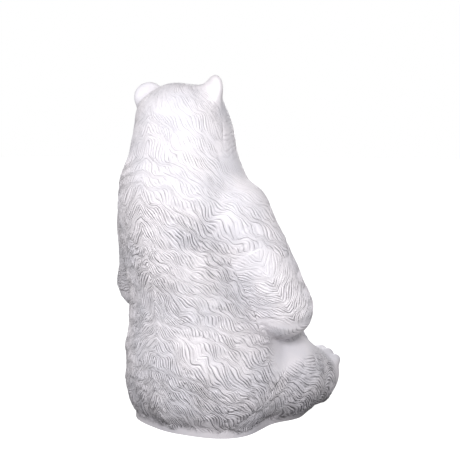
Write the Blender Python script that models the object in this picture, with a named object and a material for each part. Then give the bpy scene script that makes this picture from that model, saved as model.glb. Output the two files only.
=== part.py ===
"""Seated polar bear statue, cast in one piece, as one closed solid.

The bear is drawn as soft volumes, balls and tapered limbs, in shares of a drawing one unit high.
Each volume gives the distance to its own surface, and a soft union blends neighbours together.
The zero surface of the whole is netted into a mesh, thinned, cut flat underneath and scaled to
its real height. It faces -Y, stands on Z = 0 and has its right side towards -X.
"""
import math

import bmesh
import bpy
import numpy as np

# Real size in metres
HEIGHT = 1.50

# Meshing, in shares of the drawing
CELL = 0.0072
TRIANGLES = 9700

# Underside: level of the cut, and height of the plain band that stands above it
FLOOR = 0.020
BAND = 0.024

# Head: place of the point between the ears, and its turn, tilt and nod in degrees
HEAD_AT = (-0.003, 0.071, 0.884)
HEAD_TURN = 6.0
HEAD_TILT = 3.0
HEAD_NOD = 10.0

# Digits on each paw
TOES = 5

# The left elbow is a little higher than the right one.
ARM_LIFT = 0.020

# Fur, in shares of the drawing: height of a row of locks, width of a lock, how far a lock's
# pointed end hangs below the row's edge, how far the rows fall for each step outwards, and how
# far the edge of a row stands off the row below
ROW = 0.0440
LOCK = 0.0520
TIP = 0.0120
ROW_FALL = 0.26
LEDGE = 0.0042


def turned(axis, degrees):
    """Matrix that turns row vectors by an angle about one axis."""
    c = math.cos(math.radians(degrees))
    s = math.sin(math.radians(degrees))
    if axis == "X":
        return np.array([[1, 0, 0], [0, c, -s], [0, s, c]])
    if axis == "Y":
        return np.array([[c, 0, s], [0, 1, 0], [-s, 0, c]])
    return np.array([[c, -s, 0], [s, c, 0], [0, 0, 1]])


def ball(p, centre, radii, turn=None):
    """Distance to an ellipsoid."""
    q = p - np.array(centre)
    if turn is not None:
        q = q @ turn
    r = np.array(radii)
    far = np.linalg.norm(q / r, axis=1)
    slope = np.linalg.norm(q / (r * r), axis=1)
    return far * (far - 1.0) / np.maximum(slope, 1e-9)


def limb(p, start, end, start_radius, end_radius):
    """Distance to a tapered limb with round ends."""
    a = np.array(start, float)
    axis = np.array(end, float) - a
    length = float(np.linalg.norm(axis))
    axis = axis / length
    lean = (start_radius - end_radius) / length
    side = math.sqrt(max(1.0 - lean * lean, 1e-6))
    q = p - a
    along = q @ axis
    across = np.sqrt(np.maximum(np.einsum("ij,ij->i", q, q) - along * along, 0.0))
    k = (along * side + across * -lean) / side
    body = across * side + along * lean - start_radius
    head = np.sqrt(across ** 2 + along ** 2) - start_radius
    tail = np.sqrt(across ** 2 + (along - length) ** 2) - end_radius
    d = np.where(k < 0.0, head, body)
    return np.where(k > length, tail, d)


def join(a, b, soft):
    """Union of two volumes with a soft seam."""
    h = np.maximum(soft - np.abs(a - b), 0.0) / soft
    return np.minimum(a, b) - h * h * soft * 0.25


def carve(a, b, soft):
    """Volume a with volume b taken out, with a soft edge."""
    return -join(-a, b, soft)


def head(p):
    """Skull, cheeks, muzzle, jaw, nose, brow and ears."""
    frame = turned("Z", HEAD_TURN) @ turned("Y", HEAD_TILT) @ turned("X", HEAD_NOD)
    h = (p - np.array(HEAD_AT)) @ frame
    m = h.copy()
    m[:, 0] = np.abs(m[:, 0])
    d = ball(h, (0, -0.005, -0.002), (0.110, 0.118, 0.084))
    d = join(d, ball(m, (0.068, -0.032, -0.036), (0.056, 0.086, 0.070)), 0.04)
    d = join(d, limb(h, (0, -0.070, -0.010), (0, -0.200, -0.044), 0.066, 0.039), 0.05)
    d = join(d, limb(h, (0, -0.060, -0.068), (0, -0.194, -0.082), 0.050, 0.021), 0.025)
    d = join(d, ball(m, (0.017, -0.216, -0.054), (0.023, 0.027, 0.026)), 0.012)
    d = join(d, ball(h, (0, -0.240, -0.036), (0.026, 0.014, 0.017)), 0.006)
    d = join(d, ball(m, (0.040, -0.100, 0.034), (0.022, 0.030, 0.014)), 0.03)
    d = carve(d, ball(m, (0.053, -0.128, 0.010), (0.016, 0.014, 0.011)), 0.012)
    d = join(d, ball(m, (0.048, -0.114, 0.009), (0.0110, 0.0110, 0.0110)), 0.003)
    set_of_ear = turned("Z", 38) @ turned("Y", -12)
    d = join(d, ball(m, (0.107, 0.004, 0.070), (0.036, 0.019, 0.042), set_of_ear), 0.020)
    return carve(d, ball(m, (0.116, -0.016, 0.076), (0.022, 0.013, 0.026), set_of_ear), 0.012)


def arm(q):
    """Arm that hangs forward, rests its elbow on the thigh and its paw on the shin."""
    d = limb(q, (0.144, 0.018, 0.620), (0.260, -0.058, 0.380), 0.107, 0.074)
    d = join(d, limb(q, (0.256, -0.062, 0.365), (0.150, -0.205, 0.290), 0.072, 0.054), 0.04)
    paw = ball(q, (0.120, -0.245, 0.262), (0.056, 0.064, 0.042), turned("X", -18))
    for i in range(TOES):
        out = i - (TOES - 1) / 2
        at = (0.120 + out * 0.0215, -0.298 + abs(out) ** 1.5 * 0.0055, 0.247)
        paw = join(paw, ball(q, at, (0.0135, 0.018, 0.018)), 0.008)
    return join(d, paw, 0.03)


def lower_leg(q):
    """Shin and upright hind foot with its toes along the top."""
    d = limb(q, (0.158, -0.200, 0.134), (0.170, -0.322, 0.114), 0.118, 0.090)
    foot = ball(q, (0.182, -0.372, 0.122), (0.062, 0.036, 0.072), turned("X", 10))
    for i in range(TOES):
        out = i - (TOES - 1) / 2
        at = (0.182 + out * 0.025, -0.378, 0.180 - abs(out) ** 1.6 * 0.0070)
        foot = join(foot, ball(q, at, (0.0150, 0.024, 0.019)), 0.008)
    return join(d, foot, 0.022)


def bear(p):
    """Distance to the whole bear, before its underside is cut flat."""
    low = p.copy()
    low[:, 2] = np.maximum(low[:, 2], FLOOR + BAND)
    q = p.copy()
    q[:, 0] = np.abs(q[:, 0])
    low_q = q.copy()
    low_q[:, 2] = low[:, 2]
    d = ball(low, (0, -0.035, 0.175), (0.222, 0.212, 0.200))
    d = join(d, ball(low, (0, -0.034, 0.115), (0.218, 0.180, 0.115)), 0.04)
    d = join(d, ball(low_q, (0.102, 0.026, 0.100), (0.108, 0.090, 0.092)), 0.04)
    d = join(d, limb(low_q, (0.118, -0.020, 0.158), (0.152, -0.200, 0.148), 0.124, 0.112), 0.035)
    d = join(d, ball(low, (0, -0.010, 0.360), (0.216, 0.170, 0.250)), 0.10)
    d = join(d, ball(p, (0, 0.045, 0.600), (0.190, 0.175, 0.240)), 0.10)
    d = join(d, limb(p, (0, 0.067, 0.700), (-0.006, 0.070, 0.855), 0.150, 0.122), 0.08)
    d = join(d, head(p), 0.045)
    raised = q.copy()
    raised[:, 2] -= ARM_LIFT * np.clip(p[:, 0] / 0.10 + 0.5, 0.0, 1.0)
    d = join(d, arm(raised), 0.025)
    return join(d, lower_leg(q), 0.05)


def rise(x, start, end):
    """Rise smoothly from 0 at start to 1 at end."""
    t = np.clip((x - start) / (end - start), 0.0, 1.0)
    return t * t * (3.0 - 2.0 * t)


def rows(out, down):
    """Height of rows of locks, with each row's pointed ends set over the gaps of the next."""
    row = down / ROW
    whole = np.floor(row)
    shift = 2.4 * (whole + rise(row - whole, 0.3, 0.7))
    step = row - TIP / ROW * (0.5 - 0.5 * np.cos(2.0 * math.pi * out / LOCK + shift))
    step -= np.floor(step)
    return LEDGE * (step ** 0.8 * rise(step, 1.0, 0.74) - 0.35)


def fur(p):
    """Height of the overlapping rows of locks over the smooth bear."""
    x = np.abs(p[:, 0])
    y = p[:, 1]
    z = p[:, 2]
    wander = 0.010 * np.sin(17.0 * y + 9.0 * z + 1.0) * np.sin(13.0 * x - 7.0 * z)
    out = np.arctan2(x, y - 0.02) * 0.185
    trunk = rows(out, 0.92 - z - ROW_FALL * out + wander)
    leg = rows(0.15 * np.arctan2(z - 0.20, -y - 0.03), np.hypot(y + 0.03, z - 0.20) + wander)
    on_leg = rise(0.108 - y - 1.2 * z, -0.012, 0.012) * rise(z, 0.30, 0.26) * rise(x, 0.05, 0.08)
    h = (p - np.array(HEAD_AT)) @ turned("Z", HEAD_TURN)
    kept = 1.0 - rise(z, 0.80, 0.86)
    kept *= rise(z, FLOOR + 0.024, FLOOR + 0.040)
    bare = rise(z + 0.25 * (y + 0.10), 0.175, 0.205) * rise(z, 0.31, 0.28)
    kept *= 1.0 - bare * rise(y, -0.015, -0.065) * rise(x, 0.09, 0.12)
    kept *= rise(y, -0.30, -0.25)
    kept *= 1.0 - rise(h[:, 1], -0.02, -0.06) * rise(z, 0.74, 0.78)
    return kept * (trunk + on_leg * (leg - trunk))


def furred(p):
    """Distance to the bear with its rows of locks."""
    return bear(p) - fur(p)


def sampled(field, low, high, cell):
    """Values of a field on the nodes of a grid, a layer at a time."""
    axes = [np.arange(a, b + cell, cell) for a, b in zip(low, high)]
    grid = np.empty([len(a) for a in axes])
    y, z = np.meshgrid(axes[1], axes[2], indexing="ij")
    layer = np.stack([np.zeros(y.size), y.ravel(), z.ravel()], axis=1)
    for i, x in enumerate(axes[0]):
        layer[:, 0] = x
        grid[i] = field(layer).reshape(y.shape)
    return grid


def merged(grid):
    """Fill the grid's nodes at which two surfaces would meet only along an edge."""
    for _ in range(8):
        inside = grid < 0
        met = 0
        for a, b in ((0, 1), (0, 2), (1, 2)):
            first = inside
            second = np.roll(inside, -1, a)
            third = np.roll(inside, -1, b)
            fourth = np.roll(second, -1, b)
            crossed = (first == fourth) & (second == third) & (first != second)
            met += int(crossed.sum())
            for step_a in (0, 1):
                for step_b in (0, 1):
                    corner = np.roll(np.roll(crossed, step_a, a), step_b, b)
                    grid = np.where(corner & (grid >= 0), -1e-5, grid)
        if met == 0:
            break
    return grid


def netted(field, low, high, cell):
    """Points and quads of a field's zero surface, one point for each cell it crosses."""
    grid = merged(sampled(field, low, high, cell))
    cells = np.array(grid.shape) - 1
    total = np.zeros((int(cells.prod()), 3))
    hits = np.zeros(int(cells.prod()))
    quads = []
    for axis in range(3):
        first = np.take(grid, range(0, grid.shape[axis] - 1), axis)
        second = np.take(grid, range(1, grid.shape[axis]), axis)
        nodes = np.argwhere((first < 0) != (second < 0))
        a, b = [k for k in range(3) if k != axis]
        whole = (nodes[:, a] > 0) & (nodes[:, b] > 0)
        whole &= (nodes[:, a] < cells[a]) & (nodes[:, b] < cells[b])
        nodes = nodes[whole]
        start = first[tuple(nodes.T)]
        end = second[tuple(nodes.T)]
        point = nodes.astype(float)
        point[:, axis] += start / (start - end)
        ring = []
        for step_a, step_b in ((0, 0), (1, 0), (1, 1), (0, 1)):
            home = nodes.copy()
            home[:, a] -= step_a
            home[:, b] -= step_b
            flat = np.ravel_multi_index(tuple(home.T), tuple(cells))
            np.add.at(total, flat, point)
            np.add.at(hits, flat, 1)
            ring.append(flat)
        ring = np.stack(ring, axis=1)
        flip = (start < 0) == (axis == 1)
        ring[flip] = ring[flip][:, ::-1]
        quads.append(ring)
    used = np.nonzero(hits)[0]
    number = np.full(len(hits), -1)
    number[used] = np.arange(len(used))
    points = np.array(low) + total[used] / hits[used][:, None] * cell
    return points, number[np.concatenate(quads)]


def thinned(points, quads, triangles):
    """Mesh with about the wanted count of triangles, kept denser where the surface bends."""
    dense = bpy.data.meshes.new("dense")
    dense.from_pydata(points.tolist(), [], quads.tolist())
    holder = bpy.data.objects.new("dense", dense)
    bpy.context.scene.collection.objects.link(holder)
    thin = holder.modifiers.new("thin", "DECIMATE")
    thin.ratio = triangles / (2 * len(quads))
    graph = bpy.context.evaluated_depsgraph_get()
    mesh = bpy.data.meshes.new_from_object(holder.evaluated_get(graph))
    bpy.data.objects.remove(holder)
    bpy.data.meshes.remove(dense)
    return mesh


def stand(mesh):
    """Cut the underside flat, close it, and set the bear to its real height over the origin."""
    work = bmesh.new()
    work.from_mesh(mesh)
    everything = list(work.verts) + list(work.edges) + list(work.faces)
    bmesh.ops.bisect_plane(work, geom=everything, dist=1e-5, plane_co=(0, 0, FLOOR),
                           plane_no=(0, 0, 1), clear_inner=True)
    rim = [v for v in work.verts if v.is_boundary]
    bmesh.ops.remove_doubles(work, verts=rim, dist=0.0015)
    for v in work.verts:
        if v.is_boundary:
            v.co.z = FLOOR
    open_edges = [e for e in work.edges if e.is_boundary]
    bmesh.ops.holes_fill(work, edges=open_edges, sides=0)
    bmesh.ops.triangulate(work, faces=[f for f in work.faces if len(f.verts) > 3])
    bmesh.ops.recalc_face_normals(work, faces=work.faces)
    co = np.array([v.co for v in work.verts])
    low = co.min(axis=0)
    high = co.max(axis=0)
    scale = HEIGHT / (high[2] - low[2])
    middle = (low + high) / 2
    for v in work.verts:
        v.co.x = (v.co.x - middle[0]) * scale
        v.co.y = (v.co.y - middle[1]) * scale
        v.co.z = (v.co.z - low[2]) * scale
    work.to_mesh(mesh)
    work.free()


def resin():
    """White painted resin."""
    material = bpy.data.materials.new("white_resin")
    material.use_nodes = True
    shader = material.node_tree.nodes["Principled BSDF"]
    shader.inputs["Base Color"].default_value = (0.80, 0.77, 0.80, 1.0)
    shader.inputs["Roughness"].default_value = 0.55
    return material


def build():
    """Make the one solid of the statue."""
    for old in list(bpy.data.objects):
        bpy.data.objects.remove(old)
    low = (-0.36, -0.46, FLOOR - 4 * CELL)
    high = (0.36, 0.26, 1.05)
    points, quads = netted(furred, low, high, CELL)
    mesh = thinned(points, quads, TRIANGLES)
    stand(mesh)
    mesh.name = "bear"
    body = bpy.data.objects.new("bear", mesh)
    body.data.materials.append(resin())
    bpy.context.scene.collection.objects.link(body)


build()
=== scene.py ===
"""Dressed model of a seated polar bear statue, cast in one piece of white painted resin.

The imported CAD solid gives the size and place. The bear's volumes are drawn again here, in shares
of a drawing about one unit high, netted finely, carved with rows of fur locks and thinned to one
mesh that stands for the CAD node. It faces -Y and its right side is towards -X.
"""
import logging
import math
from dataclasses import dataclass, field
from enum import Enum

import bmesh
import bpy
import numpy as np
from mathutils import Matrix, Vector


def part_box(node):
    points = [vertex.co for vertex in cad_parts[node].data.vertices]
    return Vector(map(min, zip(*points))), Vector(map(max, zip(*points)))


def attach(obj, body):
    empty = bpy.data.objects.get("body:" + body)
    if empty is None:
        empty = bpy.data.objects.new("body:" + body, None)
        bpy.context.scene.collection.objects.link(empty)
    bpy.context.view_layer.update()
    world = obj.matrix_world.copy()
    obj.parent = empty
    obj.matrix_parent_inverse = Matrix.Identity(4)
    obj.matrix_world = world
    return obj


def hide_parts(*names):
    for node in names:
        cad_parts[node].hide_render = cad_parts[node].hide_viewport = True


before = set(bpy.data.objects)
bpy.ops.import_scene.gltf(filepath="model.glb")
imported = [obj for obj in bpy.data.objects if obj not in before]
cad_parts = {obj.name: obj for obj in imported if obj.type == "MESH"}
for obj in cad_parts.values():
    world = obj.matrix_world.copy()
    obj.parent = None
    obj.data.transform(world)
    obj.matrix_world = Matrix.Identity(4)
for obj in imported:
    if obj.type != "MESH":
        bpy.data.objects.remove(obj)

LOG = logging.getLogger("bear")
FRAME_PIXELS = 460
Place = tuple[float, float, float]
Span = tuple[Place, Place]
Pair = tuple[float, float]


class Side(Enum):
    """Parts of the coat, each with fur lines of its own."""

    TRUNK = 0
    ARM = 1
    FOREARM = 2
    LEG = 3
    FACE = 4


# Shapes as distances


def turned(axis: str, degrees: float) -> np.ndarray:
    """Make the matrix that turns row vectors by an angle about one axis.

    Args:
        axis: The axis, X, Y or Z.
        degrees: The angle.

    Returns:
        The 3 by 3 matrix.
    """
    c = math.cos(math.radians(degrees))
    s = math.sin(math.radians(degrees))
    if axis == "X":
        return np.array([[1, 0, 0], [0, c, -s], [0, s, c]])
    if axis == "Y":
        return np.array([[c, 0, s], [0, 1, 0], [-s, 0, c]])
    return np.array([[c, -s, 0], [s, c, 0], [0, 0, 1]])


def ball(p: np.ndarray, centre: Place, radii: Place, turn: np.ndarray | None = None) -> np.ndarray:
    """Measure the distance to an ellipsoid.

    Args:
        p: Points, one to a row.
        centre: The ellipsoid's centre.
        radii: Its three radii.
        turn: A matrix that turns it, if it is turned.

    Returns:
        A distance for each point, negative inside.
    """
    q = p - np.array(centre)
    if turn is not None:
        q = q @ turn
    r = np.array(radii)
    far = np.linalg.norm(q / r, axis=1)
    slope = np.linalg.norm(q / (r * r), axis=1)
    return far * (far - 1.0) / np.maximum(slope, 1e-9)


def limb(p: np.ndarray, start: Place, end: Place, start_radius: float, end_radius: float) -> np.ndarray:
    """Measure the distance to a tapered limb with round ends.

    Args:
        p: Points, one to a row.
        start: Centre of the limb's first end.
        end: Centre of its other end.
        start_radius: Radius at the first end.
        end_radius: Radius at the other end.

    Returns:
        A distance for each point, negative inside.
    """
    a = np.array(start, float)
    axis = np.array(end, float) - a
    length = float(np.linalg.norm(axis))
    axis = axis / length
    lean = (start_radius - end_radius) / length
    side = math.sqrt(max(1.0 - lean * lean, 1e-6))
    q = p - a
    along = q @ axis
    across = np.sqrt(np.maximum(np.einsum("ij,ij->i", q, q) - along * along, 0.0))
    k = (along * side + across * -lean) / side
    body = across * side + along * lean - start_radius
    head = np.sqrt(across ** 2 + along ** 2) - start_radius
    tail = np.sqrt(across ** 2 + (along - length) ** 2) - end_radius
    d = np.where(k < 0.0, head, body)
    return np.where(k > length, tail, d)


def join(a: np.ndarray, b: np.ndarray, soft: float) -> np.ndarray:
    """Unite two volumes with a soft seam.

    Args:
        a: Distances to the first volume.
        b: Distances to the second.
        soft: Width of the seam.

    Returns:
        Distances to both together.
    """
    h = np.maximum(soft - np.abs(a - b), 0.0) / soft
    return np.minimum(a, b) - h * h * soft * 0.25


def carve(a: np.ndarray, b: np.ndarray, soft: float) -> np.ndarray:
    """Take volume b out of volume a, with a soft edge; see join for the values."""
    return -join(-a, b, soft)


def mirrored(p: np.ndarray) -> np.ndarray:
    """Fold points onto the bear's left half.

    Args:
        p: Points, one to a row.

    Returns:
        The points, with no x below 0.
    """
    q = p.copy()
    q[:, 0] = np.abs(q[:, 0])
    return q


def ramp(x: np.ndarray, start: float, end: float) -> np.ndarray:
    """Rise smoothly from 0 at start to 1 at end.

    Args:
        x: Values.
        start: Where the rise begins.
        end: Where it is complete; below start for a fall.

    Returns:
        Values from 0 to 1.
    """
    t = np.clip((x - start) / (end - start), 0.0, 1.0)
    return t * t * (3.0 - 2.0 * t)


def ripple(p: np.ndarray, wave: float, seed: int, count: int = 6) -> np.ndarray:
    """Make a smooth wandering value in space from a few seeded waves.

    Args:
        p: Points, one to a row.
        wave: Typical wavelength.
        seed: Seed of the draw.
        count: Number of waves.

    Returns:
        A value for each point, mostly between -1 and 1.
    """
    draw = np.random.default_rng(seed)
    total = np.zeros(len(p))
    for _ in range(count):
        way = draw.normal(size=3)
        way *= draw.uniform(0.7, 1.4) * 2.0 * math.pi / (wave * np.linalg.norm(way))
        total += np.sin(p @ way + draw.uniform(0.0, 2.0 * math.pi))
    return total / math.sqrt(count * 1.2)


def rounded(place: np.ndarray, lean: float) -> np.ndarray:
    """Draw a round ridge between two cuts.

    Args:
        place: Place between the cuts, from 0 to 1.
        lean: Below 1 the ridge's top leans towards the first cut.

    Returns:
        Heights from 0 in the cuts to 1 on top.
    """
    return np.sqrt(np.maximum(1.0 - (2.0 * place ** lean - 1.0) ** 2, 0.0))


def lot(a: np.ndarray, b: np.ndarray, seed: int) -> np.ndarray:
    """Draw an even value for a pair of whole numbers, the same on each run.

    Args:
        a: First numbers.
        b: Second numbers.
        seed: Seed of the draw.

    Returns:
        Values from 0 to 1.
    """
    # Large odd factors mix the bits until no order is left.
    mask = np.int64(0xFFFFFFFF)
    h = (a.astype(np.int64) * 374761393 + b.astype(np.int64) * 668265263 + seed * 974711) & mask
    h = ((h ^ (h >> 13)) * 1274126177) & mask
    h = ((h ^ (h >> 16)) * 668265263) & mask
    return (h ^ (h >> 15)) / 4294967296.0


# The bear's volumes, in shares of the drawing's height


@dataclass(frozen=True)
class Claw:
    """A tapered claw, with its root and tip measured in y and z from its toe's centre."""

    root: Pair
    tip: Pair
    radius: float
    point: float = 0.0015

    def distance(self, q: np.ndarray, toes: list[Place]) -> np.ndarray:
        """Measure the distance to a row of claws, one to a toe.

        Args:
            q: Mirrored points, one to a row.
            toes: Centres of the toes.

        Returns:
            A distance for each point.
        """
        d = np.full(len(q), 1.0)
        for x, y, z in toes:
            start = (x, y + self.root[0], z + self.root[1])
            end = (x, y + self.tip[0], z + self.tip[1])
            d = np.minimum(d, limb(q, start, end, self.radius, self.point))
        return d


@dataclass
class Trunk:
    """Seat, haunches, thighs, belly, back and neck."""

    floor: float = 0.020
    # Height above the floor below which the sides drop straight down, as the foot of the cast.
    band: float = 0.024
    seat: Place = (0, -0.035, 0.175)
    seat_radii: Place = (0.222, 0.212, 0.200)
    base: Place = (0, -0.034, 0.115)
    base_radii: Place = (0.218, 0.180, 0.115)
    rump: Place = (0.102, 0.026, 0.100)
    rump_radii: Place = (0.108, 0.090, 0.092)
    thigh: Span = ((0.118, -0.020, 0.158), (0.152, -0.200, 0.148))
    thigh_radii: Pair = (0.124, 0.112)
    belly: Place = (0, -0.010, 0.360)
    belly_radii: Place = (0.216, 0.170, 0.250)
    back: Place = (0, 0.045, 0.600)
    back_radii: Place = (0.190, 0.175, 0.240)
    neck: Span = ((0, 0.067, 0.700), (-0.006, 0.070, 0.855))
    neck_radii: Pair = (0.150, 0.122)
    seat_seam: float = 0.04
    thigh_seam: float = 0.035
    back_seam: float = 0.10
    neck_seam: float = 0.08

    def lowered(self, p: np.ndarray) -> np.ndarray:
        """Carry the outline at the band's top straight down to the floor.

        Args:
            p: Points, one to a row.

        Returns:
            The points, with those below the band's top raised to it.
        """
        low = p.copy()
        low[:, 2] = np.maximum(low[:, 2], self.floor + self.band)
        return low

    def distance(self, p: np.ndarray) -> np.ndarray:
        """Measure the distance to the trunk.

        Args:
            p: Points, one to a row.

        Returns:
            A distance for each point.
        """
        low = self.lowered(p)
        low_q = mirrored(low)
        d = ball(low, self.seat, self.seat_radii)
        d = join(d, ball(low, self.base, self.base_radii), self.seat_seam)
        d = join(d, ball(low_q, self.rump, self.rump_radii), self.seat_seam)
        d = join(d, limb(low_q, *self.thigh, *self.thigh_radii), self.thigh_seam)
        d = join(d, ball(low, self.belly, self.belly_radii), self.back_seam)
        d = join(d, ball(p, self.back, self.back_radii), self.back_seam)
        return join(d, limb(p, *self.neck, *self.neck_radii), self.neck_seam)


@dataclass
class Head:
    """Skull, cheeks, muzzle, jaw, nose, brow, eyes and ears, in a frame between the ears."""

    # Middle of the head, and in degrees how it turns left, tilts sideways and nods.
    at: Place = (-0.003, 0.071, 0.884)
    turn: float = 6.0
    tilt: float = 3.0
    nod: float = 10.0
    skull: Place = (0, -0.005, -0.002)
    skull_radii: Place = (0.110, 0.118, 0.084)
    cheek: Place = (0.068, -0.032, -0.036)
    cheek_radii: Place = (0.056, 0.086, 0.070)
    muzzle: Span = ((0, -0.070, -0.010), (0, -0.200, -0.044))
    muzzle_radii: Pair = (0.066, 0.039)
    jaw: Span = ((0, -0.060, -0.068), (0, -0.194, -0.082))
    jaw_radii: Pair = (0.050, 0.021)
    lip: Place = (0.017, -0.216, -0.054)
    lip_radii: Place = (0.023, 0.027, 0.026)
    nose: Place = (0, -0.240, -0.036)
    nose_radii: Place = (0.026, 0.014, 0.017)
    nostril: Place = (0.011, -0.254, -0.036)
    nostril_radii: Place = (0.0045, 0.006, 0.0045)
    brow: Place = (0.040, -0.100, 0.034)
    brow_radii: Place = (0.022, 0.030, 0.014)
    socket: Place = (0.053, -0.128, 0.010)
    socket_radii: Place = (0.016, 0.014, 0.011)
    eye: Place = (0.051, -0.131, 0.012)
    # Point ahead of the eye that its dark paint is drawn towards.
    gaze: Place = (0.066, -0.175, 0.014)
    eye_radius: float = 0.0125
    ear: Place = (0.107, 0.004, 0.070)
    ear_radii: Place = (0.043, 0.021, 0.042)
    ear_turn: float = 38.0
    ear_lean: float = -12.0
    ear_hollow: Place = (0.116, -0.016, 0.076)
    ear_hollow_radii: Place = (0.022, 0.013, 0.026)
    cheek_seam: float = 0.04
    muzzle_seam: float = 0.05
    jaw_seam: float = 0.025
    lip_seam: float = 0.012
    nose_seam: float = 0.006
    nostril_seam: float = 0.004
    brow_seam: float = 0.03
    hollow_seam: float = 0.012
    eye_seam: float = 0.002
    ear_seam: float = 0.045
    # How far the black reaches past the nose, and the painted share of the eye's radius.
    nose_margin: float = 0.0016
    eye_share: float = 0.8

    def local(self, p: np.ndarray) -> np.ndarray:
        """Turn points into the head's own frame."""
        frame_turn = turned("Z", self.turn) @ turned("Y", self.tilt) @ turned("X", self.nod)
        return (p - np.array(self.at)) @ frame_turn

    def distance(self, p: np.ndarray) -> np.ndarray:
        """Measure the distance to the head.

        Args:
            p: Points, one to a row.

        Returns:
            A distance for each point.
        """
        h = self.local(p)
        m = mirrored(h)
        d = ball(h, self.skull, self.skull_radii)
        d = join(d, ball(m, self.cheek, self.cheek_radii), self.cheek_seam)
        d = join(d, limb(h, *self.muzzle, *self.muzzle_radii), self.muzzle_seam)
        d = join(d, limb(h, *self.jaw, *self.jaw_radii), self.jaw_seam)
        d = join(d, ball(m, self.lip, self.lip_radii), self.lip_seam)
        d = join(d, ball(h, self.nose, self.nose_radii), self.nose_seam)
        d = carve(d, ball(m, self.nostril, self.nostril_radii), self.nostril_seam)
        d = join(d, ball(m, self.brow, self.brow_radii), self.brow_seam)
        d = carve(d, ball(m, self.socket, self.socket_radii), self.hollow_seam)
        d = join(d, ball(m, self.eye, (self.eye_radius,) * 3), self.eye_seam)
        ear_set = turned("Z", self.ear_turn) @ turned("Y", self.ear_lean)
        d = join(d, ball(m, self.ear, self.ear_radii, ear_set), self.ear_seam)
        return carve(d, ball(m, self.ear_hollow, self.ear_hollow_radii, ear_set), self.hollow_seam)

    def painted(self, p: np.ndarray) -> np.ndarray:
        """Measure the distance to what is painted dark: nose, nostrils and eyes.

        Args:
            p: Points, one to a row.

        Returns:
            A distance for each point, negative where the paint lies.
        """
        h = self.local(p)
        m = mirrored(h)
        nose = ball(h, self.nose, tuple(r + self.nose_margin for r in self.nose_radii))
        pupil = self.eye_share * self.eye_radius
        return np.minimum(nose, limb(m, self.eye, self.gaze, pupil, pupil))


@dataclass
class Arm:
    """Arm that hangs forward, with its elbow on the thigh and its paw on the shin."""

    shoulder: Place = (0.144, 0.018, 0.620)
    elbow: Place = (0.260, -0.058, 0.380)
    # The forearm starts at the fold, just below the elbow.
    fold: Place = (0.256, -0.062, 0.365)
    wrist: Place = (0.150, -0.205, 0.290)
    upper_radii: Pair = (0.107, 0.074)
    fore_radii: Pair = (0.072, 0.054)
    paw: Place = (0.120, -0.245, 0.262)
    paw_radii: Place = (0.056, 0.064, 0.042)
    paw_nod: float = -18.0
    toes: int = 5
    toe_step: float = 0.0215
    toe_front: float = -0.298
    toe_height: float = 0.247
    toe_curve: float = 0.0055
    toe_radii: Place = (0.0135, 0.018, 0.018)
    claw: Claw = Claw((-0.012, 0.003), (-0.032, -0.013), 0.0050)
    elbow_seam: float = 0.04
    paw_seam: float = 0.03
    toe_seam: float = 0.008
    claw_seam: float = 0.004
    # The left arm is raised by the lift, which sets in over this width about the middle.
    lift: float = 0.020
    lift_width: float = 0.10

    def toe_places(self) -> list[Place]:
        """Find the centres of the toes, along an arc at the paw's front.

        Returns:
            A place for each toe.
        """
        places = []
        for i in range(self.toes):
            out = i - (self.toes - 1) / 2
            front = self.toe_front + abs(out) ** 1.5 * self.toe_curve
            places.append((self.paw[0] + out * self.toe_step, front, self.toe_height))
        return places

    def claws(self, q: np.ndarray) -> np.ndarray:
        """Measure the distance to the claws, for mirrored points."""
        return self.claw.distance(q, self.toe_places())

    def raised(self, p: np.ndarray) -> np.ndarray:
        """Fold points onto the left half, with the left arm a little higher than the right one.

        Args:
            p: Points, one to a row.

        Returns:
            The points that both arms are drawn from.
        """
        q = mirrored(p)
        q[:, 2] -= self.lift * np.clip(p[:, 0] / self.lift_width + 0.5, 0.0, 1.0)
        return q

    def upper(self, q: np.ndarray) -> np.ndarray:
        """Measure the distance to the upper arm, for mirrored points."""
        return limb(q, self.shoulder, self.elbow, *self.upper_radii)

    def lower(self, q: np.ndarray) -> np.ndarray:
        """Measure the distance to the forearm, for mirrored points."""
        return limb(q, self.fold, self.wrist, *self.fore_radii)

    def distance(self, q: np.ndarray) -> np.ndarray:
        """Measure the distance to the whole arm.

        Args:
            q: Mirrored points, one to a row.

        Returns:
            A distance for each point.
        """
        d = join(self.upper(q), self.lower(q), self.elbow_seam)
        paw = ball(q, self.paw, self.paw_radii, turned("X", self.paw_nod))
        for place in self.toe_places():
            paw = join(paw, ball(q, place, self.toe_radii), self.toe_seam)
        return join(join(d, paw, self.paw_seam), self.claws(q), self.claw_seam)


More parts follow.
